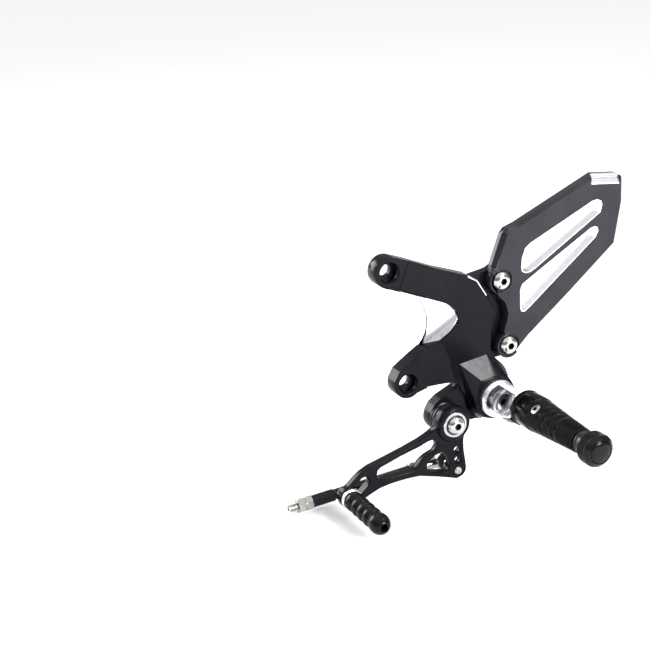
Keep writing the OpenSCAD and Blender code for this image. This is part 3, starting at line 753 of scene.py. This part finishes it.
def button_screw(name, x, z, seat, tip, head_radius, head_height):
    """A button screw along Y: seat is where its head rests, tip is the far end of its thread."""
    dome = smooth_profile([
        (0.985 * head_radius, 0.32 * head_height), (0.93 * head_radius, 0.5 * head_height),
        (0.78 * head_radius, 0.8 * head_height), (0.56 * head_radius, head_height),
    ], 0.3)
    rim = [(head_radius - 0.2, 0), (head_radius, 0.2), (head_radius, 0.2 * head_height)]
    head = turned(name, [*rim, *dome, (0.1, head_height)])
    cut_socket(head, BUTTON_KEY, 0.12 * head_height, head_height + 1, finishes["screw_steel"])
    shank = threaded_bar("shank", THREAD_RADIUS, THREAD_PITCH, seat - tip, 0.05)
    screw = joined([head, shank])
    lay_outward(screw, x, seat, z)
    return screw


GUARD_FACE = -13
GUARD_TIP = 4
GUARD_HEAD = {"head_radius": 7.3, "head_height": 4.4}
guard_screws = joined([
    button_screw("guard_screws", 93, -17, GUARD_FACE, GUARD_TIP, **GUARD_HEAD),
    button_screw("second_screw", 101.8, -68.6, GUARD_FACE, GUARD_TIP, **GUARD_HEAD),
])
dress(guard_screws, MACHINED, "guard_bolts")

PIVOT_X = 48.9
PIVOT_Z = -119.2
pivot_screw = button_screw(
    "pivot_screw", PIVOT_X, PIVOT_Z, seat=-28, tip=7, head_radius=6.9, head_height=4.2
)
dress(pivot_screw, MACHINED, "pivot_bolt")

# %% Screw of the hinge
# A raised ring runs around its low dome.
HINGE_PLACE = (88, -46, -106)
HINGE_TURN = (0, -55.2, 0)
ring_outside = smooth_profile([(8.5, 10.8), (8.05, 11.3), (7.5, 11.45)], 0.3)
low_dome = smooth_profile([(6.3, 11.6), (4.6, 11.9), (3.2, 12)], 0.5)
hinge_head = turned("hinge_screw", [
    (8.5, 8.5), (8.7, 8.7), (8.7, 10.2), *ring_outside,
    (7.2, 11.3), (7.05, 10.95), (6.9, 11.2), *low_dome, (0.1, 12),
])
cut_socket(hinge_head, key=5, bottom=9.3, top=13, finish=hinge_finish)
hinge_shank = threaded_bar("hinge_shank", THREAD_RADIUS, THREAD_PITCH, bottom=-17.5, top=8.55)
hinge_screw = joined([hinge_head, hinge_shank])
set_in_place(hinge_screw, HINGE_PLACE, HINGE_TURN)
dress(hinge_screw, MACHINED, "hinge_bolt")

# %% Polished screw in the collar
side_dome = smooth_profile([(4.25, 10.75), (3.7, 11.1), (2.4, 11.3)], 0.3)
side_head = turned("polished_screw", [
    (2.9, 5.2), (2.9, 6.69), (4.2, 6.7), (4.4, 6.9), (4.4, 10.3), *side_dome, (0.1, 11.3),
])
cut_socket(side_head, key=3, bottom=9, top=12, finish=polished_finish)
set_in_place(side_head, (PEG_X, SIDE_SCREW_Y, PEG_Z), SIDE_SCREW_TURN)
dress(side_head, MACHINED, "collar_screw")

# %% Nut behind the pivot
def hex_nut(name, across_flats, bottom, top, bore):
    """A nut along Z: its corners are turned off at both ends, and its bore is countersunk."""
    nut = hexagon(name, across_flats, bottom, top)
    corner = across_flats / math.sqrt(3)
    overhang = corner - across_flats / 2
    face = corner - 0.95 * overhang
    side = corner + 0.05
    ease = 0.28 * overhang + 0.35
    blank_profile = [(face, bottom), (side, bottom + ease), (side, top - ease), (face, top)]
    with_tool(nut, turned("blank", blank_profile), "INTERSECT")
    rim = bore + 0.6
    drill_profile = [
        (rim, bottom - 0.02), (bore, bottom + 0.5), (bore, top - 0.5), (rim, top + 0.02),
    ]
    with_tool(nut, turned("drill", drill_profile), "DIFFERENCE")
    return nut


pivot_nut = hex_nut(
    "pivot_lock_nut", across_flats=13, bottom=-6.5, top=0, bore=THREAD_RADIUS + 0.06
)
lay_outward(pivot_nut, PIVOT_X, 0, PIVOT_Z)
dress(pivot_nut, MACHINED, "pivot_nut")

# %% Screw of the footpeg's base
BASE_SCREW_PLACE = (88, 2.4, -106)
HEAD_COLUMNS = 96
HEAD_ROWS = 13
HEAD_STEP = 0.6
HEAD_KNURL_HEIGHT = 0.22
head_rim = [(7.75, HEAD_STEP + HEAD_STEP * row) for row in range(HEAD_ROWS)]
head_profile = [(7.4, 0), *head_rim, (7.8, 8.6), (7.2, 9.6), (6.6, 10)]
socket_head = turned("base_screw", head_profile, HEAD_COLUMNS)
raise_diamonds(socket_head, range(1, 1 + HEAD_ROWS), HEAD_COLUMNS, HEAD_KNURL_HEIGHT)
with_tool(socket_head, hexagon("key", across_flats=8, bottom=4.6, top=11), "DIFFERENCE")
base_shank = threaded_bar("base_shank", radius=5, pitch=1.5, bottom=-32.4, top=0.05)
socket_head = joined([socket_head, base_shank])
set_in_place(socket_head, BASE_SCREW_PLACE, (-90, 0, 0))
dress(socket_head, MACHINED, "base_bolt")

# %% [markdown]
# ## Toe peg
# The toe peg is turned from one bar: four soft lobes for grip and a ball at the end, with a deep
# round hole that leads to the screw on which it is tightened.

# %% Outline of the toe peg
# Each point is how far the surface lies outside the toe peg's radius, and its height.
LOBE_PITCH = 8.8
outline = [(-1, 0), (-0.2, 1.4), (0, 3.6), (-0.4, 6), (-1.6, 7.8)]
for lobe in (1, 2):
    foot = lobe * LOBE_PITCH
    outline += [(-1.6, foot), (-0.4, foot + 1.4), (0, foot + 3.8)]
    outline += [(-0.4, foot + 6.2), (-1.6, foot + 7.8)]
outline += [(-1.6, 26.4), (-0.4, 27.8), (0, 30.2), (-0.4, 32.4), (-1.6, 34), (-1.6, 35)]
outline += [(-0.6, 36.4), (0.2, 39.4), (0.3, 42), (-0.2, 44.8), (-1.5, 47.2)]
outline += [(-3.2, 48.8), (-4.2, 49.3)]
print("toe peg has", len(outline), "outline points")

# %% Toe peg
TOE_RADIUS = 7.5
TOE_PLACE = (-35.1, -27.5, -163.5)
TOE_END = 49.3
toe_profile = smooth_profile([(TOE_RADIUS + offset, height) for offset, height in outline])
toe_peg = turned("lobed_toe_peg", toe_profile + [(0.1, TOE_END)])
with_tool(toe_peg, turned("drill", [(2.9, 42.3), (2.9, 51)]), "DIFFERENCE")
lay_outward(toe_peg, *TOE_PLACE)
dress(toe_peg, ROUNDED, "toe_peg")

# %% [markdown]
# ## Linkage
# The rod is a black sleeve, round for most of its length and hexagonal where a spanner turns it.
# Two nuts lock it on the threaded rod, whose bare end is drilled hollow. The whole rod slopes down
# to the front by 6.6 degrees.

# %% Sleeve of the rod
ROD_PLACE = (55, -1.5, -158.6)
ROD_TURN = (0, -96.6, 0)
ROD_LENGTH = 131
SLEEVE_END = 112.2
GRIP_LENGTH = 18
tube_end = SLEEVE_END - GRIP_LENGTH + 1
tube = turned("tube", [(3.2, 30), (3.7, 30.01), (3.9, 30.3), (3.9, tube_end)])
grip = hex_nut("sleeve_grip", 9, SLEEVE_END - GRIP_LENGTH, SLEEVE_END, bore=3.02)
sleeve = joined([tube, grip])
sleeve.name = "rod_sleeve_piece"
set_in_place(sleeve, ROD_PLACE, ROD_TURN)
dress(sleeve, MACHINED, "rod_sleeve")

# %% Nuts on the rod
NUT_FLATS = 10
NUT_BORE = 2.6
lock_nuts = joined([
    hex_nut("lock_nuts", NUT_FLATS, SLEEVE_END + 0.1, SLEEVE_END + 5.7, NUT_BORE),
    hex_nut("outer_nut", NUT_FLATS, SLEEVE_END + 5.9, SLEEVE_END + 11.5, NUT_BORE),
])
set_in_place(lock_nuts, ROD_PLACE, ROD_TURN)
dress(lock_nuts, MACHINED, "rod_nuts")
jam_nut = hex_nut("housing_nut", NUT_FLATS, bottom=25, top=30, bore=NUT_BORE)
set_in_place(jam_nut, ROD_PLACE, ROD_TURN)
dress(jam_nut, MACHINED, "rod_jam_nut")

# %% Housing of the ball joint
housing = turned("ball_housing", [
    (6.9, -3.8), (7.7, -3.6), (8.3, -2.8), (8.3, 2.8), (7.7, 3.6), (6.9, 3.8),
])
lay_outward(housing, *ROD_PLACE)
tail_profile = [(4.6, 5.5), (4.5, 9), (4.1, 15), (3.7, 21), (3.7, 24.6), (3.4, 25)]
tail = turned("housing_tail", tail_profile, segments=48)
set_in_place(tail, ROD_PLACE, ROD_TURN)
with_tool(housing, tail, "UNION")
bore = turned("drill", [(5.5, -3.9), (5.06, -3.4), (5.06, 3.4), (5.5, 3.9)])
lay_outward(bore, *ROD_PLACE)
with_tool(housing, bore, "DIFFERENCE")
dress(housing, ROUNDED, "rod_end")

# %% Ball stud
ball = smooth_profile([(3.9, -4), (4.6, -2.4), (4.98, -0.2), (4.7, 2.2), (3.9, 3.9)], 0.4)
stud_body = turned("ball_stud_piece", [
    (3.4, -4.3), *ball, (3.1, 5), (3.1, 7.1), (4.2, 7.3), (4.4, 7.5), (4.4, 8.6), (4.2, 8.8),
    (3.2, 8.9), (3.2, 13),
])
stud_hex = hex_nut("stud_hexagon", across_flats=9, bottom=12.8, top=16, bore=2)
stud_end = threaded_bar("stud_end", radius=2.96, pitch=1, bottom=15.9, top=23.6)
stud = joined([stud_body, stud_hex, stud_end])
lay_outward(stud, *ROD_PLACE)
dress(stud, MACHINED, "ball_stud")

# %% Threaded rod with a hollow end
thread = threaded_bar("threaded_rod", radius=3, pitch=1, bottom=14, top=ROD_LENGTH)
hollow = [(1.5, ROD_LENGTH - 4), (1.5, ROD_LENGTH - 0.6), (2.1, ROD_LENGTH + 0.1)]
with_tool(thread, turned("drill", hollow), "DIFFERENCE")
set_in_place(thread, ROD_PLACE, ROD_TURN)
dress(thread, MACHINED, "rod_stud")
